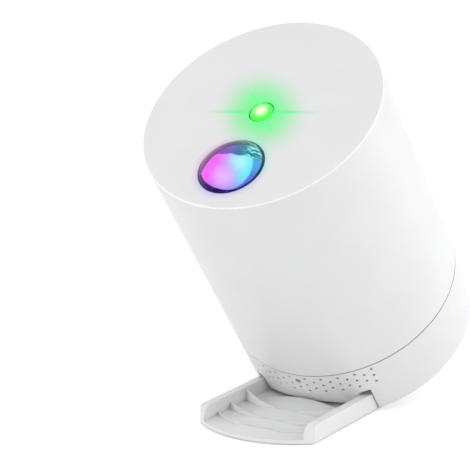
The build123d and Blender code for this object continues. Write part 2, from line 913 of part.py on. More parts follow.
def board_screws():
    seat = main_board_low + board_thickness
    return [screw(x, y, seat, screw_bite, False) for x, y in board_posts]


# ------------------------------------------------------ buttons, power inlet

def button(x):
    """Round cap whose face follows the base, with a flange that keeps it in."""
    widest = abs(x) + button_radius + button_flange
    flange_y = chord_y(inner_radius, widest) - slide_gap
    cap = rod_along_y(button_radius, flange_y, body_radius + button_proud, x, button_row)
    cap &= rod(body_radius + button_proud, 0, base_height)
    flange_back = flange_y - button_flange_thickness
    cap += bar_along_y(button_radius + button_flange, flange_back, flange_y, x, button_row)
    stem_tip = button_board_back + switch_height - stem_in_switch
    return cap + bar_along_y(button_stem, stem_tip, flange_back, x, button_row)


def button_board():
    low = button_row + button_board_lift
    half = button_board_width / 2
    board = block(-half, half, button_board_back - board_thickness, button_board_back,
                  low, low + button_board_height)
    for side in (-1, 1):
        board -= bar_along_y(small_shank, button_board_back - board_thickness, button_board_back,
                             side * button_boss_x, button_row)
    return board


def button_board_screws():
    places = [(-button_boss_x, button_row), (button_boss_x, button_row)]
    return small_screws(places, button_board_back - board_thickness, -1)


def tact_switches():
    half = switch_size / 2
    top = button_board_back + switch_height
    switches = []
    for x in button_places.values():
        case = block(x - half, x + half, button_board_back, top, button_row - half, button_row + half)
        well = rod_along_y(button_stem + slide_gap, button_board_back + switch_floor, top, x, button_row)
        switches.append(case - well)
    return switches


def power_jack():
    """Round low-voltage inlet with its centre pin, soldered to the button board."""
    shoulder_y = button_board_back + jack_nose
    nose_y = body_radius - jack_nose_end
    jack = block(-jack_width / 2, jack_width / 2, button_board_back, shoulder_y,
                 button_row - jack_height / 2, button_row + jack_height / 2)
    jack += rod_along_y(jack_nose_radius, shoulder_y, nose_y, 0, button_row)
    bore_end = nose_y - jack_bore_depth
    jack -= rod_along_y(jack_bore, bore_end, nose_y, 0, button_row)
    return jack + rod_along_y(jack_pin, bore_end, nose_y - jack_pin_setback, 0, button_row)


# ----------------------------------------------------------------------- stand

def crown_slope():
    run = deck_back_y() - tip_y
    return math.atan((crown_back - crown_front) / run)


def deck_back_y():
    return hinge_ground_y - deck_end


def crown_height(y):
    return crown_front + (y - tip_y) * math.tan(crown_slope())


def stand_face(grow):
    return arch_face(stand_width / 2 + grow, hinge_ground_y, arc_y, front_arc + grow, -1)


def stand_deck():
    """Deck arched across the stand and rising to the back, inside the side walls."""
    middle_y = (tip_y + deck_back_y()) / 2
    axis = Pos(0, middle_y, crown_height(middle_y)) * Rot(math.degrees(crown_slope()), 0, 0)
    arch = axis * Pos(0, 0, -deck_crown) * Rot(90, 0, 0) * Cylinder(deck_crown, 3 * front_arc)
    inner = stand_width / 2 - stand_wall
    room = prism(stand_face(0), foot_gap, stand_wall_height)
    room &= block(-inner, inner, tip_y, deck_back_y(), foot_gap, stand_wall_height)
    return room & arch


def stand_ribs():
    """Curved cross ribs, level with the deck at the middle and rising to the walls."""
    inner = stand_width / 2 - stand_wall
    ribs = []
    for setback, lift in zip(rib_setbacks, rib_wall_lifts):
        front_y = tip_y + setback
        low = crown_height(front_y) + rib_rise
        ring_middle = front_y + front_arc
        rib = tube(front_arc, front_arc - rib_thickness, foot_gap, low + lift, 0, ring_middle)
        dip = (inner ** 2 + lift ** 2) / (2 * lift)
        rib -= rod_along_y(dip, tip_y, ring_middle, 0, low + dip)
        ribs.append(rib & block(-inner, inner, tip_y, ring_middle - front_arc / 2, foot_gap,
                                stand_wall_height))
    return ribs


def wall_side():
    """Side view of a stand wall: round top corner at the front, hinge eye at the back."""
    back = hinge_ground_y
    front = tip_y
    start = corner_y - chord_drop()
    top = stand_wall_height
    bend = wall_nose_round
    middle = bend * (1 - math.sqrt(0.5))
    outline = Line((back, foot_gap), (front, foot_gap))
    outline += Line((front, foot_gap), (front, floor_top))
    outline += Line((front, floor_top), (start, floor_top))
    outline += Line((start, floor_top), (start, top - bend))
    outline += ThreePointArc((start, top - bend), (start + middle, top - middle), (start + bend, top))
    outline += Line((start + bend, top), (back, top))
    outline += Line((back, top), (back, foot_gap))
    return make_face(Plane.YZ * outline)


def chord_drop():
    """How far the front arc runs on from the outer to the inner face of a wall."""
    inner = stand_width / 2 - stand_wall
    return chord_y(front_arc, inner) - chord_y(front_arc, stand_width / 2)


def stand_walls():
    side_view = extrude(wall_side(), amount=stand_width / 2, both=True)
    plan = prism(stand_face(0), 0, 2 * hinge_height)
    inner = stand_width / 2 - stand_wall
    walls = side_view & plan
    walls -= block(-inner, inner, 2 * tip_y, 0, 0, 2 * hinge_height)
    for side in (-1, 1):
        ends = sorted((side * inner, side * stand_width / 2))
        walls += rod_along_x(eye_radius, ends[0], ends[1], hinge_ground_y, hinge_height)
    return walls


def stand():
    tray = prism(stand_face(0), foot_gap, floor_top)
    tray += stand_deck()
    tray += stand_ribs()
    tray += stand_walls()
    for side in (-1, 1):
        tray -= rod_along_x(hinge_pin_radius + bore_gap, side * slot_outer - slot_outer,
                            side * slot_outer + slot_outer, hinge_ground_y, hinge_height)
    return tray - prism(pad_face(), 0, pad_thickness)


def pad_face():
    return arch_face(stand_width / 2 - pad_inset, foot_back, arc_y, front_arc - pad_inset, -1)


def stand_pad():
    return prism(pad_face(), 0, pad_thickness)


# ---------------------------------------------------------------------- export

body_parts = {
    "housing": housing, "projection_lens": projection_lens, "lens_retainer": lens_retainer,
    "laser_window": laser_window, "window_retainer": window_retainer,
    "nebula_gear": nebula_gear, "ripple_disc": ripple_disc, "star_gear": star_gear,
    "grating_film": grating_film, "drive_pinion": drive_pinion, "motor_shaft": motor_shaft,
    "chassis_plate": chassis_plate, "chassis_screws": chassis_screws,
    "light_tunnel": light_tunnel, "led_board": led_board, "led_emitters": led_emitters,
    "heatsink": heatsink, "laser_holder": laser_holder, "laser_module": laser_module,
    "drive_motor": drive_motor, "motor_screws": motor_screws,
    "base_ring": base_ring, "bottom_cover": bottom_cover, "bottom_screws": bottom_screws,
    "bottom_pads": bottom_pads, "hinge_pins": hinge_pins,
    "speaker_frame": speaker_frame, "speaker_cone": speaker_cone,
    "speaker_magnet": speaker_magnet, "speaker_screws": speaker_screws,
    "ir_receiver": ir_receiver, "main_board": main_board,
    "board_components": board_components, "board_screws": board_screws,
    "button_board": button_board, "button_board_screws": button_board_screws,
    "tact_switches": tact_switches, "power_jack": power_jack,
}
stand_parts = {"stand": stand, "stand_pad": stand_pad}


def save(name, shape):
    if isinstance(shape, list):
        shape = Compound(shape)
    shape.label = name
    export_step(shape, "parts/" + name + ".step")


def placed(place, shape):
    return [place(piece) for piece in shape] if isinstance(shape, list) else place(shape)


os.makedirs("parts", exist_ok=True)
for name, make in body_parts.items():
    save(name, placed(leaned, make()))
for name, x in button_places.items():
    save(name, leaned(button(x)))
for name, make in stand_parts.items():
    save(name, grounded(make()))
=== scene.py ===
import json
import math

import bmesh
import bpy
from mathutils import Matrix, Vector


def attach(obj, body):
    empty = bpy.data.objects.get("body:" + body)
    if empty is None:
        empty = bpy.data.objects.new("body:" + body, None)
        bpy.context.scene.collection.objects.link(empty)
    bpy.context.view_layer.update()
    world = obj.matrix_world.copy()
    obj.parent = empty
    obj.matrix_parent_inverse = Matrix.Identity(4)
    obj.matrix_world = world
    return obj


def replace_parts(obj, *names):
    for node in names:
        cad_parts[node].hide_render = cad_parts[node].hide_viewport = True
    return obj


# A white planetarium projector: a leaning cylinder over a fold-out stand, with a lit
# nebula lens and a lit laser window in its slanted top.  Metres, in the CAD frame.

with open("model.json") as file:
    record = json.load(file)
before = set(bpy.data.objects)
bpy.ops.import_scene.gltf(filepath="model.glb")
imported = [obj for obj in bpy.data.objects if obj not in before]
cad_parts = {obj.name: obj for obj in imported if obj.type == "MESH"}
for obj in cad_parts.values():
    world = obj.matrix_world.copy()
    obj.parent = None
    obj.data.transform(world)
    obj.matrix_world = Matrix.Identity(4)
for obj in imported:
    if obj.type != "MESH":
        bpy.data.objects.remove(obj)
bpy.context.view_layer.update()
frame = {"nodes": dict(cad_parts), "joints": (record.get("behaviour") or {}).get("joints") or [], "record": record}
scene = bpy.context.scene
nodes = frame["nodes"]
mm = 0.001

spin = {joint["name"]: joint for joint in frame["joints"]}["star_spin"]
spinHeight = 0.138              # the star gear's joint, up the body's axis
topHeight = 0.147               # the slanted top, up the same axis
lensCentre = Vector((0.0, -0.0319, 0.0))    # across and back from that axis
lensSpot = tuple(lensCentre / mm)           # the same in millimetres

bodyUp = Vector(spin["axis"]).normalized()
bodyRight = Vector((1.0, 0.0, 0.0))
bodyBack = bodyUp.cross(bodyRight)
bodyFoot = Vector(spin["pos_m"]) - bodyUp * spinHeight


# A place given across (x, y) and up (s) the body, in the CAD frame.
def onBody(x, y, s):
    return bodyFoot + bodyRight * x + bodyBack * y + bodyUp * s


def node(tree, kind, wires=None, **settings):
    made = tree.nodes.new("ShaderNode" + kind)
    for name, value in settings.items():
        setattr(made, name, value)
    for socket, value in (wires or {}).items():
        if isinstance(value, bpy.types.NodeSocket):
            tree.links.new(value, made.inputs[socket])
        else:
            made.inputs[socket].default_value = value
    return made


def sums(tree, operation, *values, clamp=False):
    made = node(tree, "Math", dict(enumerate(values)), operation=operation, use_clamp=clamp)
    return made.outputs[0]


def vectors(tree, operation, *values):
    made = node(tree, "VectorMath", dict(enumerate(values)), operation=operation)
    single = operation in ("LENGTH", "DOT_PRODUCT", "DISTANCE")
    return made.outputs["Value" if single else "Vector"]


# Takes a value that runs from low to high to one that runs from outLow to outHigh.
def span(tree, value, low, high, outLow=0.0, outHigh=1.0, smooth=True):
    kind = "SMOOTHSTEP" if smooth else "LINEAR"
    wires = {0: value, 1: low, 2: high, 3: outLow, 4: outHigh}
    return node(tree, "MapRange", wires, interpolation_type=kind, clamp=True).outputs[0]


def mixed(tree, factor, first, second, blend="MIX"):
    wires = {0: factor, 6: first, 7: second}
    return node(tree, "Mix", wires, data_type="RGBA", blend_type=blend).outputs[2]


def noise(tree, place, scale, detail=2.0, rough=0.5, warp=0.0):
    wires = {"Vector": place, "Scale": scale, "Detail": detail, "Roughness": rough,
             "Distortion": warp}
    return node(tree, "TexNoise", wires).outputs["Fac"]


# Most values of a noise lie between these two; spread stretches them over a range.
noiseLow, noiseHigh = 0.3, 0.7


def spread(tree, value, outLow=0.0, outHigh=1.0):
    return span(tree, value, noiseLow, noiseHigh, outLow, outHigh)


def grey(tree, value):
    return node(tree, "CombineXYZ", {0: value, 1: value, 2: value}).outputs[0]


def rgb(colour):
    return (*colour, 1.0)


# A shader group with named sockets; returns its tree, its input node and its end.
def newGroup(name, inputs, outputs):
    group = bpy.data.node_groups.new(name, "ShaderNodeTree")
    for label, kind, value in inputs:
        socket = group.interface.new_socket(label, in_out="INPUT", socket_type=kind)
        socket.default_value = value
    for label, kind in outputs:
        group.interface.new_socket(label, in_out="OUTPUT", socket_type=kind)
    return group, group.nodes.new("NodeGroupInput"), group.nodes.new("NodeGroupOutput")


def give(group, end, **outputs):
    for label, value in outputs.items():
        group.links.new(value, end.inputs[label.replace("_", " ")])


def useGroup(tree, name, **inputs):
    made = tree.nodes.new("ShaderNodeGroup")
    made.node_tree = bpy.data.node_groups[name]
    for label, value in inputs.items():
        socket = made.inputs[label.replace("_", " ")]
        if isinstance(value, bpy.types.NodeSocket):
            tree.links.new(value, socket)
        else:
            socket.default_value = value
    return made.outputs


number, colour, vector = "NodeSocketFloat", "NodeSocketColor", "NodeSocketVector"
white = (1.0, 1.0, 1.0, 1.0)
black = (0.0, 0.0, 0.0, 1.0)
acrossOnly = (1.0, 1.0, 0.0)    # takes the height out of a place on the body


# Where a point lies across and up the body, in millimetres.
def makeBodyPlace():
    group, _, end = newGroup("bodyPlace", [], [("Place", vector)])
    here = node(group, "TexCoord").outputs["Object"]
    away = vectors(group, "SUBTRACT", here, tuple(bodyFoot))
    parts = [vectors(group, "DOT_PRODUCT", away, tuple(side))
             for side in (bodyRight, bodyBack, bodyUp)]
    joined = node(group, "CombineXYZ", dict(enumerate(parts))).outputs[0]
    scaled = node(group, "VectorMath", {0: joined, "Scale": 1 / mm}, operation="SCALE")
    give(group, end, Place=scaled.outputs["Vector"])


skinMarks = {"speck": 0.006, "driftScale": 0.035, "driftEdge": (0.35, 0.65),
             "scuffStretch": (0.12, 2.4, 0.35), "scuffScale": 0.8, "scuffEdge": (0.64, 0.8),
             "scuffGloss": 0.12, "flowScale": 0.11, "flowGloss": 0.035,
             "sinkScale": 0.09, "sinkDepth": 4.0}


# Moulded plastic: fine grain, slow tone drift and hair-thin rubbed lines in the gloss.
def makeMouldedSkin():
    marks = skinMarks
    inputs = [("Colour", colour, white), ("Grain Size", number, 0.5),
              ("Drift", number, 0.03), ("Gloss", number, 0.4), ("Scuffs", number, 0.5)]
    outputs = [("Colour", colour), ("Roughness", number), ("Height", number)]
    group, start, end = newGroup("mouldedSkin", inputs, outputs)
    ask = start.outputs
    place = useGroup(group, "bodyPlace")["Place"]
    fine = sums(group, "DIVIDE", 1.0, ask["Grain Size"])
    grain = noise(group, place, fine, detail=3.0, rough=0.6)
    slow = noise(group, place, marks["driftScale"])
    drift = sums(group, "MULTIPLY", span(group, slow, *marks["driftEdge"]), ask["Drift"])
    speck = sums(group, "MULTIPLY", spread(group, grain), marks["speck"])
    shade = grey(group, sums(group, "SUBTRACT", 1.0, sums(group, "ADD", drift, speck)))
    toned = mixed(group, 1.0, ask["Colour"], shade, "MULTIPLY")
    drawn = vectors(group, "MULTIPLY", place, marks["scuffStretch"])
    lines = noise(group, drawn, marks["scuffScale"], detail=3.0, rough=0.6)
    rubbed = sums(group, "MULTIPLY", span(group, lines, *marks["scuffEdge"]), ask["Scuffs"])
    flowed = noise(group, place, marks["flowScale"], detail=4.0, rough=0.55, warp=1.2)
    flowed = spread(group, flowed, -marks["flowGloss"], marks["flowGloss"])
    rough = sums(group, "ADD", ask["Gloss"], flowed)
    rough = sums(group, "ADD", rough, sums(group, "MULTIPLY", rubbed, marks["scuffGloss"]))
    sunk = noise(group, place, marks["sinkScale"], detail=1.0, rough=0.3)
    sunk = sums(group, "MULTIPLY", sunk, marks["sinkDepth"])
    give(group, end, Colour=toned, Roughness=rough, Height=sums(group, "ADD", grain, sunk))


dustMarks = {"reach": 3 * mm, "cornerEdge": (0.25, 0.75), "patchScale": 0.6, "thinnest": 0.35}


# Grey laid into inner corners and creases by ambient occlusion, in patches: dust, and painted shade where the grey
# is darker than the plastic.
def makeCreaseDust():
    marks = dustMarks
    inputs = [("Colour", colour, white), ("Dust", colour, white), ("Amount", number, 0.3)]
    group, start, end = newGroup("creaseDust", inputs, [("Colour", colour)])
    ask = start.outputs
    place = useGroup(group, "bodyPlace")["Place"]
    shut = node(group, "AmbientOcclusion", {"Distance": marks["reach"]}, samples=6)
    corner = span(group, shut.outputs["AO"], *marks["cornerEdge"], outLow=1.0, outHigh=0.0)
    patches = noise(group, place, marks["patchScale"], detail=4.0, rough=0.65)
    mask = sums(group, "MULTIPLY", corner, spread(group, patches, marks["thinnest"]))
    mask = sums(group, "MULTIPLY", mask, ask["Amount"], clamp=True)
    give(group, end, Colour=mixed(group, mask, ask["Colour"], ask["Dust"]))


metalMarks = {"blotScale": 0.4, "blotEdge": (0.4, 0.75), "tarnish": (0.11, 0.09, 0.07),
              "tarnishGloss": 0.4, "scratchStretch": (3.0, 0.25, 1.0), "scratchScale": 1.6,
              "scratchEdge": (0.64, 0.72), "scratchShine": 0.25, "scratchDepth": -0.6,
              "toolGloss": (-0.05, 0.08)}


# Machined metal: tool marks, soft blotches and a few brighter scratches.
def makeTurnedMetal():
    marks = metalMarks
    inputs = [("Colour", colour, white), ("Gloss", number, 0.3), ("Mark Pitch", number, 0.3),
              ("Tarnish", number, 0.2)]
    outputs = [("Colour", colour), ("Roughness", number), ("Height", number)]
    group, start, end = newGroup("turnedMetal", inputs, outputs)
    ask = start.outputs
    place = useGroup(group, "bodyPlace")["Place"]
    pitch = sums(group, "DIVIDE", 1.0, ask["Mark Pitch"])
    wires = {"Vector": place, "Scale": pitch, "Distortion": 1.4, "Detail": 3.0,
             "Detail Scale": 1.6}
    tooled = node(group, "TexWave", wires, bands_direction="Z").outputs["Fac"]
    blot = noise(group, place, marks["blotScale"], detail=4.0, rough=0.6, warp=0.8)
    drawn = vectors(group, "MULTIPLY", place, marks["scratchStretch"])
    scratch = noise(group, drawn, marks["scratchScale"], detail=6.0, rough=0.75)
    bright = span(group, scratch, *marks["scratchEdge"])
    dull = sums(group, "MULTIPLY", span(group, blot, *marks["blotEdge"]), ask["Tarnish"])
    toned = mixed(group, dull, ask["Colour"], rgb(marks["tarnish"]))
    shine = sums(group, "MULTIPLY", bright, marks["scratchShine"])
    toned = mixed(group, shine, toned, white)
    turned = span(group, tooled, 0.0, 1.0, *marks["toolGloss"])
    rough = sums(group, "ADD", ask["Gloss"], turned)
    rough = sums(group, "ADD", rough, sums(group, "MULTIPLY", dull, marks["tarnishGloss"]))
    cut = sums(group, "MULTIPLY", bright, marks["scratchDepth"])
    give(group, end, Colour=toned, Roughness=rough, Height=sums(group, "ADD", tooled, cut))


boardMarks = {"disorder": 0.35, "trackEdge": (0.05, 0.09), "padEdge": (0.16, 0.2),
              "stainScale": 0.15, "stainShare": 0.25, "gloss": (0.28, 0.42)}


# Solder mask over copper tracks, with tinned pads.
def makeBoardTracks():
    marks = boardMarks
    inputs = [("Mask Colour", colour, white), ("Track Colour", colour, white),
              ("Pad Colour", colour, white), ("Pitch", number, 2.5)]
    outputs = [("Colour", colour), ("Roughness", number), ("Height", number)]
    group, start, end = newGroup("boardTracks", inputs, outputs)
    ask = start.outputs
    place = useGroup(group, "bodyPlace")["Place"]
    scale = sums(group, "DIVIDE", 1.0, ask["Pitch"])
    wires = {"Vector": place, "Scale": scale, "Randomness": marks["disorder"]}
    cells = node(group, "TexVoronoi", wires, distance="CHEBYCHEV")
    edge = node(group, "TexVoronoi", wires, feature="DISTANCE_TO_EDGE")
    track = span(group, edge.outputs["Distance"], *marks["trackEdge"], 1.0, 0.0)
    pad = span(group, cells.outputs["Distance"], *marks["padEdge"], 1.0, 0.0)
    stain = noise(group, place, marks["stainScale"], detail=3.0)
    stained = spread(group, stain, 0.0, marks["stainShare"])
    toned = mixed(group, stained, ask["Mask Colour"], ask["Track Colour"])
    toned = mixed(group, track, toned, ask["Track Colour"])
    toned = mixed(group, pad, toned, ask["Pad Colour"])
    give(group, end, Colour=toned, Roughness=spread(group, stain, *marks["gloss"]),
         Height=sums(group, "MAXIMUM", track, pad))


fingerMarks = {"scale": 0.35, "edge": (0.5, 0.75)}


# Finger haze and faint moulding waves of clear resin.
def makeSmudges():
    inputs = [("Haze", number, 0.04), ("Wave Size", number, 6.0)]
    outputs = [("Roughness", number), ("Height", number)]
    group, start, end = newGroup("smudges", inputs, outputs)
    ask = start.outputs
    place = useGroup(group, "bodyPlace")["Place"]
    touched = noise(group, place, fingerMarks["scale"], detail=5.0, rough=0.6, warp=1.5)
    touched = span(group, touched, *fingerMarks["edge"])
    long = sums(group, "DIVIDE", 1.0, ask["Wave Size"])
    give(group, end, Roughness=sums(group, "MULTIPLY", touched, ask["Haze"]),
         Height=noise(group, place, long, detail=1.0, rough=0.3))


# Millimetres from the lens's centre: "right" and "rear" are the pattern's own ways,
# which lean to the body's rear right.
nebulaLook = {
    "right": (1.157, 0.503, 0.0), "rear": (-0.2, 1.049, 0.0), "shift": 1.4,
    "rippleScale": 0.16, "rippleEdge": (0.2, 0.8), "bend": 0.8,
    "magenta": (0.93, 0.09, 0.95), "cyan": (0.13, 0.86, 0.93), "turn": (-7.5, 9.0),
    "violet": (0.30, 0.20, 0.99), "violetTurn": (-11.0, -2.0), "violetShare": 0.75,
    "spots": ({"at": (-3.4, -3.6, 0.0), "reach": 8.0, "hue": (0.82, 0.56, 0.98)},
              {"at": (4.8, 3.4, 0.0), "reach": 6.5, "hue": (0.50, 0.97, 0.95)}),
    "spotShare": 0.75}


# Hues of the colour LEDs round the lens: magenta, lilac, cyan and violet.
def makeNebulaHues():
    look = nebulaLook
    outputs = [("Colour", colour), ("Slide", number), ("Rise", number), ("Ripple", number)]
    group, _, end = newGroup("nebulaHues", [], outputs)
    place = useGroup(group, "bodyPlace")["Place"]
    away = vectors(group, "SUBTRACT", place, lensSpot)
    ripple = noise(group, place, look["rippleScale"], detail=3.0, warp=1.0)
    bend = span(group, ripple, *look["rippleEdge"], -look["bend"], look["bend"], smooth=False)
    slide = vectors(group, "DOT_PRODUCT", away, look["right"])
    slide = sums(group, "ADD", slide, sums(group, "ADD", bend, look["shift"]))
    rise = sums(group, "ADD", vectors(group, "DOT_PRODUCT", away, look["rear"]), bend)
    side = span(group, slide, *look["turn"])
    hue = mixed(group, side, rgb(look["magenta"]), rgb(look["cyan"]))
    low = span(group, rise, *look["violetTurn"], look["violetShare"], 0.0)
    hue = mixed(group, low, hue, rgb(look["violet"]))
    here = node(group, "CombineXYZ", {0: slide, 1: rise}).outputs[0]
    for spot in look["spots"]:
        gap = vectors(group, "DISTANCE", here, spot["at"])
        near = span(group, gap, 0.0, spot["reach"], look["spotShare"], 0.0)
        hue = mixed(group, near, hue, rgb(spot["hue"]))
    give(group, end, Colour=hue, Slide=slide, Rise=rise, Ripple=ripple)


# The parts of the pattern, in the same millimetres; each edge or turn goes from, to.
patternLook = {
    "rightTurn": (1.5, 7.0),
    "fold": {"at": (-2.5, 3.2, 0.0), "edge": (12.7, 13.7), "share": 0.9, "turn": (-4.0, 2.0),
             "front": (0.09, 0.10, 0.84), "rear": (0.07, 0.32, 0.76)},
    "half": {"arch": 0.011, "edge": (6.1, 6.9), "turn": (-3.5, 2.5),
             "left": (0.31, 0.02, 0.50), "middle": (0.08, 0.14, 0.46),
             "right": (0.01, 0.20, 0.26), "streakColour": (0.20, 0.86, 0.85)},
    "deep": {"arch": 0.03, "lean": 0.4, "edge": (9.0, 9.8), "turn": (-4.0, 0.0),
             "left": (0.155, 0.0, 0.16), "middle": (0.008, 0.0, 0.10),
             "right": (0.0, 0.07, 0.08), "streakColour": (0.16, 0.62, 0.60)},
    "refractedStreaks": {"stretch": 0.16, "scale": 1.3, "edge": (0.47, 0.55), "turn": (4.5, 9.0)},
    "rim": {"at": (-1.7, 1.76, 0.0), "edge": (11.7, 12.2), "corner": (-17.0, -7.0),
            "wider": 1.4, "left": (0.008, 0.0, 0.09), "right": (0.0, 0.03, 0.05)}}


# What the lit glass under the lens shows: the hues, a blue fold on the right, a
# half-dark and a deep crescent behind, painted shade of the barrel with painted streaks of refraction in them, and
# a dark rim, painted shade at the glass's edge.
def makeNebulaGlow():
    look = patternLook
    outputs = [("Colour", colour), ("Height", number)]
    group, start, end = newGroup("nebulaGlow", [("Level", number, 1.0)], outputs)
    hues = useGroup(group, "nebulaHues")
    slide, rise = hues["Slide"], hues["Rise"]
    here = node(group, "CombineXYZ", {0: slide, 1: rise}).outputs[0]
    squared = sums(group, "MULTIPLY", slide, slide)
    right = span(group, slide, *look["rightTurn"])

    facts = look["fold"]
    gap = vectors(group, "DISTANCE", here, facts["at"])
    fold = span(group, gap, *facts["edge"], 0.0, facts["share"])
    blue = mixed(group, span(group, rise, *facts["turn"]), rgb(facts["front"]),
                 rgb(facts["rear"]))
    glow = mixed(group, fold, hues["Colour"], blue)

    halfArch = sums(group, "ADD", rise, sums(group, "MULTIPLY", squared,
                                             look["half"]["arch"]))
    leaned = sums(group, "MULTIPLY", slide, look["deep"]["lean"])
    deepArch = sums(group, "ADD", sums(group, "MULTIPLY", squared, look["deep"]["arch"]),
                    sums(group, "SUBTRACT", rise, leaned))

    # Painted refraction: light streaks across the crescents, towards the right.
    facts = look["refractedStreaks"]
    along = sums(group, "MULTIPLY", slide, facts["stretch"])
    drawn = node(group, "CombineXYZ", {0: along, 1: halfArch}).outputs[0]
    refractedStreaks = noise(group, drawn, facts["scale"], detail=3.0, rough=0.6, warp=0.6)
    refractedStreaks = sums(group, "MULTIPLY", span(group, refractedStreaks, *facts["edge"]),
                 span(group, slide, *facts["turn"]))

    # Painted shade: the half-dark and deep crescents, where the barrel shades the glass.
    for name, arch in (("half", halfArch), ("deep", deepArch)):
        facts = look[name]
        tone = mixed(group, span(group, slide, *facts["turn"]), rgb(facts["left"]),
                     rgb(facts["middle"]))
        tone = mixed(group, right, tone, rgb(facts["right"]))
        tone = mixed(group, refractedStreaks, tone, rgb(facts["streakColour"]))
        glow = mixed(group, span(group, arch, *facts["edge"]), glow, tone)

    # Painted shade: a dark rim round the glass's edge.
    facts = look["rim"]
    place = useGroup(group, "bodyPlace")["Place"]
    flat = vectors(group, "MULTIPLY", vectors(group, "SUBTRACT", place, lensSpot), acrossOnly)
    corner = span(group, sums(group, "ADD", slide, rise), *facts["corner"], facts["wider"], 0.0)
    reach = sums(group, "ADD", vectors(group, "DISTANCE", flat, facts["at"]), corner)
    dark = mixed(group, right, rgb(facts["left"]), rgb(facts["right"]))
    glow = mixed(group, span(group, reach, *facts["edge"]), glow, dark)
    out = mixed(group, 1.0, glow, grey(group, start.outputs["Level"]), "MULTIPLY")
    give(group, end, Colour=out, Height=hues["Ripple"])


for make in (makeBodyPlace, makeMouldedSkin, makeCreaseDust, makeTurnedMetal,
             makeBoardTracks, makeSmudges, makeNebulaHues, makeNebulaGlow):
    make()
print("shared effects ready")


# An empty material with one Principled shader that holds the constant settings.
def newMaterial(name, **constants):
    material = bpy.data.materials.new(name)
    material.use_nodes = True
    tree = material.node_tree
    tree.nodes.clear()
    wires = {label.replace("_", " "): value for label, value in constants.items()}
    shader = node(tree, "BsdfPrincipled", wires)
    end = node(tree, "OutputMaterial")
    tree.links.new(shader.outputs[0], end.inputs["Surface"])
    return material, tree, shader


def feed(tree, shader, **sockets):
    for label, value in sockets.items():
        tree.links.new(value, shader.inputs[label.replace("_", " ")])


def lightUp(tree, shader, glow, strength=1.0):
    feed(tree, shader, Emission_Color=glow)
    shader.inputs["Emission Strength"].default_value = strength


# Bump from a height, over edges that are rounded by the given radius.
def relief(tree, height, depth, edge=0.0):
    wires = {"Height": height, "Strength": 1.0, "Distance": depth}
    if edge:
        soft = node(tree, "Bevel", {"Radius": edge}, samples=6)
        wires["Normal"] = soft.outputs[0]
    return node(tree, "Bump", wires).outputs[0]


def plastic(name, look):
    material, tree, shader = newMaterial(name, IOR=1.5)
    skin = useGroup(tree, "mouldedSkin", Colour=rgb(look["colour"]),
                    Grain_Size=look["grain"], Drift=look["drift"], Gloss=look["gloss"],
                    Scuffs=look["scuffs"])
    dust = useGroup(tree, "creaseDust", Colour=skin["Colour"], Dust=rgb(look["dust"]),
                    Amount=look["dustAmount"])
    bump = relief(tree, skin["Height"], look["depth"] * mm, look["edge"] * mm)
    feed(tree, shader, Base_Color=dust["Colour"], Roughness=skin["Roughness"], Normal=bump)
    return material, tree, shader


def metal(name, look):
    material, tree, shader = newMaterial(name, Metallic=1.0)
    skin = useGroup(tree, "turnedMetal", Colour=rgb(look["colour"]), Gloss=look["gloss"],
                    Mark_Pitch=look["pitch"], Tarnish=look["tarnish"])
    bump = relief(tree, skin["Height"], look["depth"] * mm, look["edge"] * mm)
    feed(tree, shader, Base_Color=skin["Colour"], Roughness=skin["Roughness"], Normal=bump)
    return material


def board(name, look):
    material, tree, shader = newMaterial(name, IOR=1.5)
    skin = useGroup(tree, "boardTracks", Mask_Colour=rgb(look["mask"]),
                    Track_Colour=rgb(look["track"]), Pad_Colour=rgb(look["pad"]),
                    Pitch=look["pitch"])
    bump = relief(tree, skin["Height"], look["depth"] * mm)
    feed(tree, shader, Base_Color=skin["Colour"], Roughness=skin["Roughness"], Normal=bump)
    return material


def clear(name, look):
    material, tree, shader = newMaterial(
        name, Base_Color=rgb(look["tint"]), Transmission_Weight=1.0, IOR=look["ior"],
        Specular_IOR_Level=look["shine"], Specular_Tint=rgb(look["glint"]))
    skin = useGroup(tree, "smudges", Haze=look["haze"], Wave_Size=look["wave"])
    bump = relief(tree, skin["Height"], look["depth"] * mm)
    feed(tree, shader, Roughness=skin["Roughness"], Normal=bump)
    return material


plainPlastic = {"colour": (0.8, 0.8, 0.8), "grain": 0.3, "drift": 0.03, "gloss": 0.4,
                "scuffs": 0.25, "dust": (0.42, 0.41, 0.39), "dustAmount": 0.25,
                "depth": 0.005, "edge": 0.2}        # grain, depth and edge in millimetres
# The dark grey in the shell's and stand's creases and seams is painted shade.
shellLook = {**plainPlastic, "colour": (0.795, 0.797, 0.80), "gloss": 0.36, "edge": 0.45,
             "dust": (0.2, 0.2, 0.2), "dustAmount": 0.6, "scuffs": 0.3, "drift": 0.02,
             "depth": 0.004}
standLook = {**plainPlastic, "colour": (0.79, 0.792, 0.795), "gloss": 0.37, "edge": 0.7,
             "dust": (0.12, 0.12, 0.12), "dustAmount": 0.35}
buttonLook = {**plainPlastic, "colour": (0.74, 0.742, 0.745), "gloss": 0.34, "edge": 0.3}
gearLook = {**plainPlastic, "colour": (0.72, 0.71, 0.67), "gloss": 0.34, "edge": 0.1}
chassisLook = {**plainPlastic, "colour": (0.028, 0.029, 0.031), "dust": (0.2, 0.2, 0.19)}
holderLook = {**plainPlastic, "colour": (0.022, 0.022, 0.024), "dust": (0.2, 0.2, 0.19),
              "caught": 0.03}
reflectorLook = {**plainPlastic, "colour": (0.86, 0.86, 0.86), "gloss": 0.22}
componentLook = {**plainPlastic, "colour": (0.03, 0.03, 0.033), "gloss": 0.5}
rubberLook = {**plainPlastic, "colour": (0.11, 0.112, 0.115), "grain": 0.35, "gloss": 0.78,
              "depth": 0.06, "dustAmount": 0.5, "dust": (0.4, 0.39, 0.37)}
speakerLook = {**plainPlastic, "colour": (0.035, 0.035, 0.037), "gloss": 0.5}
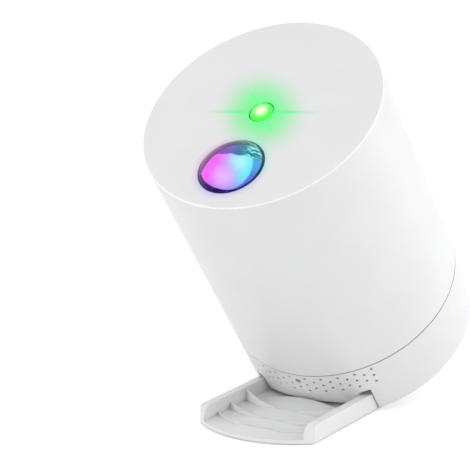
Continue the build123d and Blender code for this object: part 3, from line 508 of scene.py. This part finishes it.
jackLook = {**plainPlastic, "colour": (0.02, 0.02, 0.022), "gloss": 0.42}
coneLook = {**plainPlastic, "colour": (0.05, 0.048, 0.045), "grain": 0.22, "gloss": 0.8,
            "depth": 0.08, "drift": 0.2}
steelLook = {"colour": (0.62, 0.61, 0.59), "gloss": 0.24, "pitch": 0.25, "tarnish": 0.15,
             "depth": 0.006, "edge": 0.15}
motorLook = {**steelLook, "colour": (0.66, 0.65, 0.62), "gloss": 0.32, "pitch": 0.6}
brassLook = {**steelLook, "colour": (0.80, 0.60, 0.25), "gloss": 0.22}
alloyLook = {**steelLook, "colour": (0.84, 0.845, 0.86), "gloss": 0.34, "pitch": 0.5}
magnetLook = {**steelLook, "colour": (0.30, 0.30, 0.31), "gloss": 0.45, "tarnish": 0.4}
greenBoardLook = {"mask": (0.012, 0.11, 0.035), "track": (0.02, 0.17, 0.05),
                  "pad": (0.62, 0.60, 0.55), "pitch": 2.6, "depth": 0.035}
whiteBoardLook = {"mask": (0.78, 0.78, 0.77), "track": (0.68, 0.68, 0.66),
                  "pad": (0.62, 0.60, 0.55), "pitch": 3.2, "depth": 0.035}
lensLook = {"tint": (0.98, 0.985, 1.0), "ior": 1.49, "haze": 0.05, "wave": 7.0,
            "depth": 0.01, "shine": 0.15, "glint": (0.05, 0.04, 0.1)}

# Millimetres from the window's centre on the top face.
haloLook = {"amount": 0.9, "near": 4.3, "far": 25.0, "lean": 0.355, "squash": 0.935,
            "thin": 1.3, "streakFrom": 9.0,
            "streaks": ({"along": (0.994, 0.11), "reach": 38.0, "share": 0.65},
                        {"along": (0.70, -0.714), "reach": 14.2, "share": 0.195}),
            "tint": (0.12, 1.0, 0.3), "light": (0.0, 0.2, 0.01)}


# Bloom of the laser round its window, with two thin streaks, as a mask.
def haloMask(tree, place):
    look = haloLook
    split = node(tree, "SeparateXYZ", {0: place}).outputs
    leaned = sums(tree, "ADD", split["X"], sums(tree, "MULTIPLY", split["Y"], look["lean"]))
    squashed = sums(tree, "MULTIPLY", split["Y"], look["squash"])
    oval = node(tree, "CombineXYZ", {0: leaned, 1: squashed}).outputs[0]
    reach = vectors(tree, "LENGTH", oval)
    mask = span(tree, reach, look["near"], look["far"], 1.0, 0.0)
    for streak in look["streaks"]:
        x, y = streak["along"]
        off = vectors(tree, "DOT_PRODUCT", place, (-y, x, 0.0))
        squared = sums(tree, "MULTIPLY", off, off)
        narrow = sums(tree, "EXPONENT", sums(tree, "MULTIPLY", squared, -look["thin"]))
        ends = span(tree, reach, look["streakFrom"], streak["reach"], streak["share"], 0.0)
        mask = sums(tree, "ADD", mask, sums(tree, "MULTIPLY", narrow, ends))
    return sums(tree, "MULTIPLY", sums(tree, "MINIMUM", mask, 1.0), look["amount"])


topEdge = (-0.6, -0.05)         # the top face starts here, measured from its own height
spillLook = {"light": 0.06, "lightEdge": (14.5, 21.0), "tint": 0.3, "tintEdge": (15.0, 19.0)}
rimHighlight = {"colour": (0.92, 0.92, 0.92), "reach": (54.3, 54.5), "height": (-0.65, -0.45)}


# The white shell, with the laser's halo, the lamp's spill and a painted highlight along the rim of its top.
def shellMaterial():
    material, tree, shader = plastic("shellWhite", shellLook)
    skin = shader.inputs["Base Color"].links[0].from_socket
    place = useGroup(tree, "bodyPlace")["Place"]
    flat = vectors(tree, "MULTIPLY", place, acrossOnly)
    up = sums(tree, "SUBTRACT", node(tree, "SeparateXYZ", {0: place}).outputs["Z"],
              topHeight / mm)
    onTop = span(tree, up, *topEdge)

    halo = sums(tree, "MULTIPLY", haloMask(tree, place), onTop)
    tint = mixed(tree, halo, white, rgb(haloLook["tint"]))
    green = sums(tree, "MULTIPLY", halo, halo)
    green = mixed(tree, green, black, rgb(haloLook["light"]))

    hues = useGroup(tree, "nebulaHues")["Colour"]
    away = vectors(tree, "DISTANCE", flat, lensSpot)
    tinted = span(tree, away, *spillLook["tintEdge"], spillLook["tint"], 0.0)
    tint = mixed(tree, sums(tree, "MULTIPLY", tinted, onTop), tint, hues)
    spilled = span(tree, away, *spillLook["lightEdge"], spillLook["light"], 0.0)
    glow = mixed(tree, sums(tree, "MULTIPLY", spilled, onTop), black, hues)
    glow = mixed(tree, 1.0, glow, green, "ADD")

    # Painted highlight: the top edge's fillet is drawn paler, as if it caught a lamp.
    wide = vectors(tree, "LENGTH", flat)
    rim = sums(tree, "MULTIPLY", span(tree, wide, *rimHighlight["reach"]),
               span(tree, up, *rimHighlight["height"]))
    base = mixed(tree, 1.0, skin, tint, "MULTIPLY")
    feed(tree, shader, Base_Color=mixed(tree, rim, base, rgb(rimHighlight["colour"])))
    lightUp(tree, shader, glow)
    return material


# Black plastic round the lamp, which catches a little of its coloured light.
def holderMaterial():
    material, tree, shader = plastic("holderBlack", holderLook)
    lightUp(tree, shader, useGroup(tree, "nebulaGlow", Level=holderLook["caught"])["Colour"])
    return material


lampLook = {"body": (0.01, 0.01, 0.015), "shine": 0.1, "level": 0.99, "gloss": (0.12, 0.3),
            "depth": 0.9}


# Rippled glass with the colour LEDs' light in it.
def lampMaterial():
    look = lampLook
    material, tree, shader = newMaterial("rippleLit", Base_Color=rgb(look["body"]),
                                         Specular_IOR_Level=look["shine"])
    glow = useGroup(tree, "nebulaGlow", Level=look["level"])
    feed(tree, shader, Roughness=spread(tree, glow["Height"], *look["gloss"]),
         Normal=relief(tree, glow["Height"], look["depth"] * mm))
    lightUp(tree, shader, glow["Colour"])
    return material


filmLook = {"body": (0.05, 0.3, 0.06), "green": (0.06, 0.93, 0.05),
            "core": (0.90, 1.0, 0.70), "coreAt": (-0.5, 0.6, 0.0), "coreEdge": (0.51, 4.25),
            "rim": (0.005, 0.42, 0.03), "rimEdge": (4.5, 5.2),
            "lineScale": 2.4, "lineWaver": 0.2, "gloss": (0.12, 0.3), "depth": 0.03}


# Grating film lit by the laser: a soft pale core, clear green and a darker rim, which is painted shade of the
# window's glass edge.
def filmMaterial():
    look = filmLook
    material, tree, shader = newMaterial("filmLit", Base_Color=rgb(look["body"]))
    place = useGroup(tree, "bodyPlace")["Place"]
    flat = vectors(tree, "MULTIPLY", place, acrossOnly)
    away = vectors(tree, "DISTANCE", flat, look["coreAt"])
    hot = span(tree, away, *look["coreEdge"], 1.0, 0.0)
    glow = mixed(tree, hot, rgb(look["green"]), rgb(look["core"]))
    outer = span(tree, vectors(tree, "LENGTH", flat), *look["rimEdge"])
    glow = mixed(tree, outer, glow, rgb(look["rim"]))
    wires = {"Vector": place, "Scale": look["lineScale"], "Distortion": look["lineWaver"]}
    lines = node(tree, "TexWave", wires, bands_direction="X").outputs["Fac"]
    feed(tree, shader, Roughness=span(tree, lines, 0.0, 1.0, *look["gloss"]),
         Normal=relief(tree, lines, look["depth"] * mm))
    lightUp(tree, shader, glow)
    return material


emitterLook = {"strength": 0.6, "haze": 0.2, "wave": 1.2, "depth": 0.05}


# LED domes: clear resin over a lit die.
def emitterMaterial():
    look = emitterLook
    material, tree, shader = newMaterial("ledResin", IOR=1.5)
    glow = useGroup(tree, "nebulaGlow", Level=1.0)["Colour"]
    haze = useGroup(tree, "smudges", Haze=look["haze"], Wave_Size=look["wave"])
    feed(tree, shader, Base_Color=glow, Roughness=haze["Roughness"],
         Normal=relief(tree, haze["Height"], look["depth"] * mm))
    lightUp(tree, shader, glow, look["strength"])
    return material


finishes = {
    "shell_white": shellMaterial(),
    "stand_white": plastic("standWhite", standLook)[0],
    "button_white": plastic("buttonWhite", buttonLook)[0],
    "clear_glass": clear("lensClear", lensLook),
    "ripple_glass": lampMaterial(),
    "film": filmMaterial(),
    "gear_plastic": plastic("gearAcetal", gearLook)[0],
    "steel": metal("screwSteel", steelLook),
    "motor_steel": metal("motorCan", motorLook),
    "chassis_black": plastic("chassisBlack", chassisLook)[0],
    "reflector_white": plastic("reflectorWhite", reflectorLook)[0],
    "heatsink_alloy": metal("heatsinkAlloy", alloyLook),
    "laser_brass": metal("laserBrass", brassLook),
    "holder_black": holderMaterial(),
    "board_green": board("boardGreen", greenBoardLook),
    "board_white": board("boardWhite", whiteBoardLook),
    "led_lens": emitterMaterial(),
    "component_black": plastic("componentBlack", componentLook)[0],
    "rubber_grey": plastic("rubberGrey", rubberLook)[0],
    "speaker_black": plastic("speakerBlack", speakerLook)[0],
    "cone_paper": plastic("conePaper", coneLook)[0],
    "magnet": metal("ferrite", magnetLook),
    "jack_black": plastic("jackBlack", jackLook)[0],
}

slotOf = {part["node"]: part["material_slot"] for part in frame["record"]["subparts"]}
for name, piece in nodes.items():
    piece.data.materials.clear()
    piece.data.materials.append(finishes[slotOf[name]])
print("materials on", len(nodes), "nodes")


# Faces between two rings of points; a ring of one point is a tip.
def bridge(shape, inner, outer, steps):
    for step in range(steps):
        after = (step + 1) % steps
        corners = [inner[step % len(inner)], outer[step % len(outer)],
                   outer[after % len(outer)], inner[after % len(inner)]]
        shape.faces.new(list(dict.fromkeys(corners)))


def smoothPiece(name, shape, material):
    mesh = bpy.data.meshes.new(name)
    shape.to_mesh(mesh)
    shape.free()
    mesh.polygons.foreach_set("use_smooth", [True] * len(mesh.polygons))
    made = bpy.data.objects.new(name, mesh)
    scene.collection.objects.link(made)
    made.data.materials.append(material)
    return made


sharpFrom = math.radians(32)


# A solid of revolution round the body's direction; profile is (radius, height).
def lathed(name, profile, centre, material, steps=96):
    shape = bmesh.new()
    rings = []
    for radius, height in profile:
        turns = [2 * math.pi * step / steps for step in range(steps if radius else 1)]
        rings.append([shape.verts.new(onBody(centre.x + radius * math.cos(turn),
                                             centre.y + radius * math.sin(turn), height))
                      for turn in turns])
    for lower, upper in zip(rings, rings[1:]):
        bridge(shape, lower, upper, steps)
    bmesh.ops.recalc_face_normals(shape, faces=shape.faces)
    made = smoothPiece(name, shape, material)
    made.data.set_sharp_from_angle(angle=sharpFrom)
    return made


# From the rim up to the crown of a ball's cap.
def domeProfile(radius, rise, low, steps=28):
    ball = (radius ** 2 + rise ** 2) / (2 * rise)
    middle = low + rise - ball
    rim = math.asin(radius / ball)
    points = []
    for step in range(steps):
        turn = rim * (1 - step / steps)
        points.append((ball * math.sin(turn), middle + ball * math.cos(turn)))
    return [*points, (0.0, low + rise)]


# A clear dome that stands out of the top, on a round flange under it.
def domedGlass(name, facts, centre, steps=96):
    return lathed(name, [
        (0.0, facts["low"]), (facts["flange"], facts["low"]),
        (facts["flange"], facts["flangeTop"]), (facts["radius"], facts["flangeTop"]),
        *domeProfile(facts["radius"], facts["rise"], topHeight)],
        centre, finishes["clear_glass"], steps)


lensShape = {"radius": 0.01496, "rise": 0.007, "low": 0.1429, "flange": 0.01666,
             "flangeTop": 0.1444}
lens = domedGlass("lensDome", lensShape, lensCentre)
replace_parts(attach(lens, "projector"), "projection_lens")

windowCentre = Vector((0.0, 0.0, 0.0))      # on the body's axis
windowShape = {"radius": 0.0056, "rise": 0.0012, "low": 0.1432, "flange": 0.007,
               "flangeTop": 0.1444}
window = domedGlass("laserWindow", windowShape, windowCentre, steps=64)
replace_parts(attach(window, "projector"), "laser_window")


rippleWaves = {"across": 900, "acrossBend": 700, "back": 1000, "backBend": 650}
rippleFade = 6                  # how late towards its edge a disc goes flat


# A disc with a softly rippled top, like pressed optical glass.
def rippledDisc(name, centre, facts, material, rings=26, steps=96):
    waves = rippleWaves
    shape = bmesh.new()
    inner = [shape.verts.new(onBody(centre.x, centre.y, facts["height"]))]
    for ring in range(1, rings + 1):
        reach = facts["radius"] * ring / rings
        swell = facts["swell"] * (1 - (ring / rings) ** rippleFade)
        outer = []
        for step in range(steps):
            turn = 2 * math.pi * step / steps
            x, y = reach * math.cos(turn), reach * math.sin(turn)
            wave = math.sin(x * waves["across"] + math.sin(y * waves["acrossBend"]))
            wave *= math.cos(y * waves["back"] + math.sin(x * waves["backBend"]))
            outer.append(shape.verts.new(
                onBody(centre.x + x, centre.y + y, facts["height"] + swell * wave)))
        bridge(shape, inner, outer, steps)
        inner = outer
    return smoothPiece(name, shape, material)


lampDisc = {"radius": 0.0165, "height": 0.1431, "swell": 0.00008}
lamp = rippledDisc("lampDiffuser", lensCentre, lampDisc, finishes["ripple_glass"])
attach(lamp, "projector")

laserDisc = {"radius": 0.0054, "height": 0.1464, "swell": 0.00003}
beam = rippledDisc("laserDiffuser", windowCentre, laserDisc, finishes["film"], rings=12)
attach(beam, "projector")

sleeveShape = {"inner": 0.01500, "outer": 0.01512, "low": 0.14445, "high": 0.14695}
sleeve = lathed("lensSleeve", [
    (sleeveShape["inner"], sleeveShape["low"]), (sleeveShape["outer"], sleeveShape["low"]),
    (sleeveShape["outer"], sleeveShape["high"]), (sleeveShape["inner"], sleeveShape["high"]),
    (sleeveShape["inner"], sleeveShape["low"])], lensCentre, finishes["holder_black"])
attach(sleeve, "projector")
print("optics turned")


stageLook = {"size": 6.0, "paper": 0.9, "paperDrift": 0.01, "paperGloss": 0.9,
             "paperBounce": 0.9, "lift": 0.3, "fibreScale": 900.0, "fibreDepth": 0.02,
             "sky": 0.80}


# 1 for rays that show the background: seen, mirrored or through glass.
def shownRays(tree):
    path = node(tree, "LightPath").outputs
    shown = sums(tree, "MAXIMUM", path["Is Camera Ray"], path["Is Glossy Ray"])
    return sums(tree, "MAXIMUM", shown, path["Is Transmission Ray"])


def makeFloor():
    look = stageLook
    half = look["size"]
    corners = [(-half, -half, 0), (half, -half, 0), (half, half, 0), (-half, half, 0)]
    mesh = bpy.data.meshes.new("floor")
    mesh.from_pydata(corners, [], [(0, 1, 2, 3)])
    floor = bpy.data.objects.new("floor", mesh)
    scene.collection.objects.link(floor)
    material, tree, shader = newMaterial("floorPaper", Roughness=look["paperGloss"])
    shown = shownRays(tree)
    here = node(tree, "TexCoord").outputs["Object"]
    fibre = noise(tree, here, look["fibreScale"], detail=3.0, rough=0.6)
    paper = spread(tree, fibre, look["paper"] - look["paperDrift"], look["paper"])
    bounce = span(tree, shown, 0.0, 1.0, look["paperBounce"], 1.0)
    feed(tree, shader, Base_Color=grey(tree, sums(tree, "MULTIPLY", paper, bounce)),
         Normal=relief(tree, fibre, look["fibreDepth"] * mm))
    lightUp(tree, shader, grey(tree, sums(tree, "MULTIPLY", shown, look["lift"])))
    floor.data.materials.append(material)


def makeSky():
    world = bpy.data.worlds.new("studio")
    world.use_nodes = True
    tree = world.node_tree
    tree.nodes.clear()
    strength = span(tree, shownRays(tree), 0.0, 1.0, stageLook["sky"], 1.0)
    sky = node(tree, "Background", {"Color": white, "Strength": strength})
    end = node(tree, "OutputWorld")
    tree.links.new(sky.outputs[0], end.inputs["Surface"])
    scene.world = world


lamps = {
    "rightStrip": {"at": (0.55, 0.42, 0.35), "size": (0.6, 0.9), "watts": 2.3},
    "leftPanel": {"at": (-0.8, -0.45, 0.2), "size": (1.1, 1.1), "watts": 1.9},
    "topPanel": {"at": (0.6, -0.3, 1.0), "size": (0.9, 0.9), "watts": 0.3},
    "frontPanel": {"at": (0.2, -0.95, 0.16), "size": (1.2, 0.5), "watts": 2.5},
}
aim = Vector((0.0, 0.01, 0.09))     # the middle of the body


def makeLamp(name, facts):
    panel = bpy.data.lights.new(name, "AREA")
    panel.shape = "RECTANGLE"
    panel.size, panel.size_y = facts["size"]
    panel.energy = facts["watts"]
    lamp = bpy.data.objects.new(name, panel)
    lamp.location = facts["at"]
    lamp.rotation_euler = (aim - lamp.location).to_track_quat("-Z", "Y").to_euler()
    scene.collection.objects.link(lamp)


makeFloor()
makeSky()
for name, facts in lamps.items():
    makeLamp(name, facts)
print("stage lit")


cameraFacts = {"at": (0.46616, -0.79934, 0.29748), "yaw": 31.687, "pitch": -12.911,
               "roll": -0.25, "lens": 163.12, "sensor": 36.0, "reach": (0.05, 30.0)}


def makeCamera():
    yaw, pitch, roll = (math.radians(cameraFacts[key]) for key in ("yaw", "pitch", "roll"))
    ahead = Vector((-math.sin(yaw) * math.cos(pitch), math.cos(yaw) * math.cos(pitch),
                    math.sin(pitch)))
    level = Vector((math.cos(yaw), math.sin(yaw), 0.0))
    over = level.cross(ahead)
    right = level * math.cos(roll) + over * math.sin(roll)
    up = over * math.cos(roll) - level * math.sin(roll)
    turn = Matrix((right, up, -ahead)).transposed().to_4x4()
    camera = bpy.data.objects.new("camera", bpy.data.cameras.new("camera"))
    camera.data.lens = cameraFacts["lens"]
    camera.data.sensor_width = cameraFacts["sensor"]
    camera.data.clip_start, camera.data.clip_end = cameraFacts["reach"]
    camera.matrix_world = Matrix.Translation(cameraFacts["at"]) @ turn
    scene.collection.objects.link(camera)
    scene.camera = camera


makeCamera()
scene.view_settings.view_transform = "Standard"
